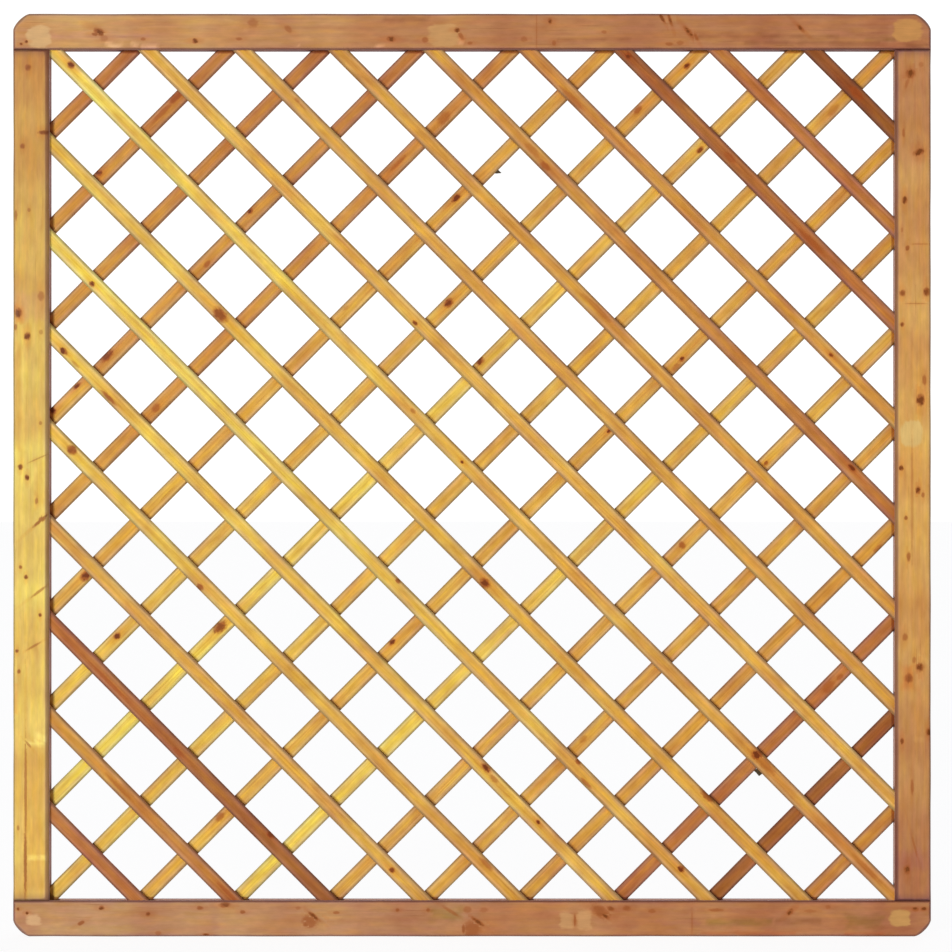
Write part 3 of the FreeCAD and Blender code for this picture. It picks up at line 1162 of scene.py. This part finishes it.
def timber():
    """The finish of every stick: stain, rings, streaks, knots, plugs, and painted light and shade."""
    wood = Finish("stained_softwood")
    along, across, deep = wood.split(wood.stored("grain"))
    knot_along, knot_across, knot_size = wood.split(wood.stored("knot", "Color"))
    knot_dark = wood.stored("knot", "Alpha")
    side, rim_gap = wood.stored("side", "Fac"), wood.stored("rim", "Fac")
    crossing, contact, thin = wood.split(wood.stored("meeting"))

    def cloud(length, width, detail=2.0, shift=0.0):
        """A noise from 0 to 1 with clouds about that long and wide, in millimetres."""
        place = {0: along / length + shift, 1: across / width, 2: deep / width}
        vector = wood.node("ShaderNodeCombineXYZ", inputs=place)
        return wood.node("ShaderNodeTexNoise", inputs={"Vector": vector, "Scale": 1.0, "Detail": detail})

    def swing(length, width, **settings):
        """The same noise, from -0.5 to 0.5."""
        return cloud(length, width, **settings) - 0.5

    def by_kind(member, slat):
        """A number that a frame member and a slat have different values of."""
        return thin * (slat - member) + member

    def tinted(factor, tone):
        """The colour so far, multiplied by a tone as far as a factor says."""
        return wood.mix(factor, colour, tone, "MULTIPLY")

    reach = (knot_along * knot_stretch) ** 2 + knot_across**2
    push = knot_across * knot_size * knot_push * knot_dark / (reach + push_softness)
    bent = across - push
    waver = swing(260, 40, detail=1.0) * slow_waver + swing(40, 9) * quick_waver
    radius = (bent**2 + deep**2) ** 0.5 + waver
    phase = (radius / ring_width).math("FRACT")
    late = phase**2.0 * (1 - wood.fade(phase, 0.72, 1.0))
    streak = swing(220, 3.2, shift=7.0)
    broad_streak = swing(260, 9, shift=19.0)
    blotch = swing(30, 12, detail=3.0, shift=3.0)
    flush = wood.fade(cloud(120, 22, shift=11.0), 0.42, 0.68)
    fibre = swing(30, 1.1, detail=1.0, shift=5.0)

    wobble = swing(7, 4, shift=17.0) * knot_wobble
    near = (knot_along**2 + knot_across**2) ** 0.5 + wobble
    body = wood.fade(near, 1.75, 0.75) * (knot_dark * 1.35).math("MINIMUM", 1)
    deep_heart = wood.fade(near + swing(9, 6, detail=1.0, shift=41.0) * 2, 1.1, 0.45)
    heart = deep_heart * wood.fade(knot_dark, 0.62, 0.9)
    halo = wood.fade(reach**0.5 + wobble, 2.7, 0.8) * knot_dark
    cracked = wood.fade(cloud(300, 20, detail=0.0, shift=29.0), 0.55, 0.65)
    check = wood.fade(cloud(90, 1.3, detail=0.0, shift=23.0), 0.76, 0.82) * cracked

    streaks = streak * by_kind(0.1, 0.6) + broad_streak * by_kind(0.3, 0)
    mottle = blotch * by_kind(0.44, 0.64)
    shade = plain_shade + streaks + mottle + fibre * 0.14 - late * by_kind(0.07, 0.17) - check * 0.3
    colour = wood.stored("stain", "Color")
    colour = tinted(flush * flush_cover, warm_stain)
    drift = cloud(60, 12, detail=2.5, shift=31.0)
    drifted = by_kind(0.6, 1)
    colour = tinted(wood.fade(drift, 0.5, 0.66) * drifted, golden_tone)
    colour = tinted(wood.fade(drift, 0.5, 0.34) * drifted, mauve_tone)
    colour = wood.scaled(colour, shade.math("MAXIMUM", 1))
    colour = tinted((1 - shade) * 2, deep_tint)
    # A band just inside each arris is a painted highlight, where the rounding starts to catch the light.
    pale = wood.fade(rim_gap, by_kind(8.7, 10.5), by_kind(3.7, 4.5)) * by_kind(0.5, 1)
    colour = tinted(pale, edge_highlight_band)
    colour = tinted(wood.fade(rim_gap, 7, 13) * thin, deep_middle)
    plug = wood.fade(wood.stored("plug", "Fac") + blotch * plug_fray, -2.5, 3.5)
    plug_colour = wood.scaled(wood.stored("plug_stain", "Color"), 1 + blotch * 0.3 + fibre * 0.2)
    colour = wood.mix(plug * plug_cover, colour, plug_colour)
    colour = tinted(halo * halo_cover, knot_flush)
    colour = wood.mix(body * body_cover, colour, wood.mix(thin, frame_knot_body, slat_knot_body))
    colour = wood.mix(heart * heart_cover, colour, wood.mix(thin, frame_knot_heart, slat_knot_heart))

    # Every arris is darkened, partly deeper stain and partly painted shade where the rounding turns from the
    # light; on the side faces the same mix is painted light that makes them paler.
    on_side = wood.fade(side, 0.6, 0.95)
    edge_shade_and_light = wood.mix(on_side, arris_stain_and_shade, side_painted_light)
    colour = tinted(wood.fade(rim_gap, *arris_band), edge_shade_and_light)
    inner, sunk = (1 - thin) * crossing, (1 - thin) * contact
    # The frame's arrises beside the lattice get more painted shade, widest on the left stile, whose inner
    # side faces away from the light.
    colour = tinted(wood.fade(rim_gap, *arris_band) * inner, inner_arris_shade)
    # The inner lips and grooves of the frame take greyed colours: painted shade on the faces that look
    # across, and painted light that lifts the shadowed faces that look to the front or back.
    colour = wood.mix(sunk * groove_cover, colour, wood.mix(on_side, groove_wall_lift, lip_shade_colour))
    gap = wood.stored("frame_gap", "Fac")
    colour = tinted(wood.fade(gap, 20, 0) * (1 - thin), end_shade)
    # Painted shadow of the frame on the ends of the rear slats.
    colour = tinted(wood.fade(gap, 6, 4.5) * thin * end_shadow_cover, slat_end_shadow)
    # Painted shadow and shade where the layers of slats cross: a shadow along one side of each slat that
    # crosses, and a narrower painted shade on both sides of it.
    beside = ((crossing + 0.5).math("FRACT") - 0.5) * (slat_pitch / mm)
    shadowed = wood.fade(beside, slat_edge + 6.5, slat_edge + 2.5) * wood.fade(beside, 0, 5)
    crossing_shade = shadowed + wood.fade(abs(beside), slat_edge + 2, slat_edge) * 0.4
    colour = tinted((crossing_shade * contact * thin * crossing_shade_cover).math("MINIMUM", crossing_shade_limit), crossing_shade_tone)
    wood.feed(wood.shader.inputs["Base Color"], colour)
    wood.shader.inputs["Specular IOR Level"].default_value = 0.15

    rough = 0.52 + blotch * 0.2 + fibre * 0.15 - late * 0.06 + side * 0.1 - body * 0.1
    wood.feed(wood.shader.inputs["Roughness"], rough)
    height = late * 0.08 + streak * 0.15 + fibre * 0.05 + blotch * 0.12 + body * 0.25 - check * 0.4
    bump = wood.node("ShaderNodeBump", inputs={"Strength": 0.6, "Distance": mm, "Height": height})
    wood.feed(wood.shader.inputs["Normal"], bump)
    return wood.material


timber_finish = timber()
print(f"the timber finish has {len(timber_finish.node_tree.nodes)} nodes")

# %% Give every stick its finish
for name, piece in pieces.items():
    piece.data.materials.append(timber_finish)
    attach(piece, "root")
    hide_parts(name)
print(f"{len(pieces)} pieces now stand in for the model's own")

# %% [markdown]
# Staples and splinters
# Such a lattice is stapled from behind where its layers cross, apart from close to the frame. A
# staple is one length of wire: a straight crown, a bend at each end and two legs that dive into the
# wood, so it is modelled as a wire swept along that path, and lies across the grain of the rear
# slat. The legs are as long as both layers are thick, less a little, so none shows in front.
# Two front slats have a splinter lifted off their edge. Both shapes are rows of rings, so one
# helper closes them.

# %% Bend a wire into a staple
crown_length = 11 * mm
wire_width = 1.3 * mm
bend_radius = 1.1 * mm
leg_reach = 16 * mm
proud = 0.3 * mm
wire_sides = 6
bend_steps = 5


def close_rings(shape, rings):
    """Faces between each ring of points and the next one, and over both ends."""
    for first, second in zip(rings, rings[1:]):
        for index in range(len(first)):
            after = (index + 1) % len(first)
            shape.faces.new((first[index], first[after], second[after], second[index]))
    shape.faces.new(rings[0][::-1])
    shape.faces.new(rings[-1])


def staple_path():
    """The middle line of a staple's wire, along its crown and down into the wood."""
    half = crown_length / 2
    turns = np.linspace(0, math.pi / 2, bend_steps)
    side = half - bend_radius + bend_radius * np.sin(turns)
    rise = proud - wire_width / 2 - bend_radius * (1 - np.cos(turns))
    side = np.append(side, half)
    rise = np.append(rise, -leg_reach)
    return np.column_stack([np.append(-side[::-1], side), np.append(rise[::-1], rise)])


def add_wire(shape, centre, across, out, path):
    """A wire along a path, which is given across and out of its centre."""
    across, out = Vector(across), Vector(out)
    beside = across.cross(out)
    way = np.gradient(path, axis=0)
    way /= np.linalg.norm(way, axis=1, keepdims=True)
    rings = []
    for (side, rise), (side_way, rise_way) in zip(path, way):
        middle = centre + across * side + out * rise
        normal = across * -rise_way + out * side_way
        rings.append([
            shape.verts.new(middle + (normal * math.cos(turn) + beside * math.sin(turn)) * (wire_width / 2))
            for turn in np.linspace(0, 2 * math.pi, wire_sides, endpoint=False)
        ])
    close_rings(shape, rings)


print(f"a staple's wire has {len(staple_path())} rings of {wire_sides} points")

# %% Staple the crossings
turn_limit = 14
slip_along, slip_across = 3, 2
staple_crease = 65
shape = bmesh.new()
dice = np.random.default_rng(7)
rear = Vector((0, 1, 0))
grain = Vector(layers["rising_slat"][0])
ridge = Vector(layers["rising_slat"][1])
fall = Vector(layers["falling_slat"][1])
steps = range(-(slats_in_layer // 2), slats_in_layer // 2 + 1)
staple_count = 0
for falling in steps:
    for rising in steps:
        rows = [[fall.x, fall.z], [-ridge.x, -ridge.z]]
        over, up = np.linalg.solve(rows, [falling * slat_pitch, rising * slat_pitch])
        spot = lattice_centre + Vector((over, slat_thickness, up))
        if min(inside_frame(np.array(spot))) < crown_length:
            continue
        turn = math.radians(dice.uniform(-turn_limit, turn_limit))
        across = ridge * math.cos(turn) + grain * math.sin(turn)
        slip = grain * dice.uniform(-slip_along, slip_along) * mm
        slip += ridge * dice.uniform(-slip_across, slip_across) * mm
        add_wire(shape, spot + slip, across, rear, staple_path())
        staple_count += 1
bmesh.ops.recalc_face_normals(shape, faces=shape.faces)
staples = into_scene("lattice_staples", shape)
smooth(staples.data, staple_crease)
print(f"{staple_count} staples with {len(staples.data.polygons)} faces")

# %% Coat the staples
zinc = Finish("dull_zinc")
cloudy = zinc.node("ShaderNodeTexNoise", inputs={"Scale": 900.0, "Detail": 3.0})
zinc_light, zinc_dark = (0.56, 0.57, 0.58, 1), (0.33, 0.33, 0.34, 1)
zinc.feed(zinc.shader.inputs["Base Color"], zinc.mix(cloudy, zinc_dark, zinc_light))
zinc.feed(zinc.shader.inputs["Roughness"], zinc.fade(cloudy, 0.3, 0.7, 0.35, 0.6))
zinc.shader.inputs["Metallic"].default_value = 1
staples.data.materials.append(zinc.material)
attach(staples, "root")
print(f"{zinc.material.name} has {len(zinc.tree.nodes)} nodes")

# %% Lift the splinters
splinter_front, splinter_back = 1 * mm, 6 * mm
splinter_middle = (splinter_front + splinter_back) / 2
splinter_taper = 0.55
splinter_rings = ((splinter_front, splinter_taper), (splinter_middle, 1), (splinter_back, splinter_taper))
splinter_bevel = 0.4 * mm
splinter_outlines = [
    [(493.5, 171.6), (498.0, 169.4), (502.0, 173.2), (495.5, 173.8)],
    [(753.5, 770.6), (757.0, 768.4), (761.6, 771.4), (762.2, 774.0), (759.0, 776.4), (756.4, 773.2)],
]
shape = bmesh.new()
for outline_pixels in splinter_outlines:
    corners = [seen_at(*pixel, splinter_middle) for pixel in outline_pixels]
    centre = sum(corners, Vector()) / len(corners)
    rings = []
    for depth, share in splinter_rings:
        ring = [centre + (corner - centre) * share for corner in corners]
        rings.append([shape.verts.new((corner.x, depth, corner.z)) for corner in ring])
    close_rings(shape, rings)
bmesh.ops.recalc_face_normals(shape, faces=shape.faces)
bmesh.ops.bevel(shape, geom=shape.edges, offset=splinter_bevel, segments=1, affect="EDGES")
splinters = into_scene("lifted_splinters", shape)
torn = Finish("weathered_splinter")
fibres = torn.node("ShaderNodeTexNoise", inputs={"Scale": 400.0, "Detail": 3.0})
torn_dark, torn_light = (*linear(52, 42, 22), 1), (*linear(104, 82, 48), 1)
torn.feed(torn.shader.inputs["Base Color"], torn.mix(torn.fade(fibres, 0.4, 0.75), torn_dark, torn_light))
torn.shader.inputs["Roughness"].default_value = 0.8
splinters.data.materials.append(torn.material)
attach(splinters, "root")
print(f"{len(splinter_outlines)} splinters with {len(splinters.data.polygons)} faces")
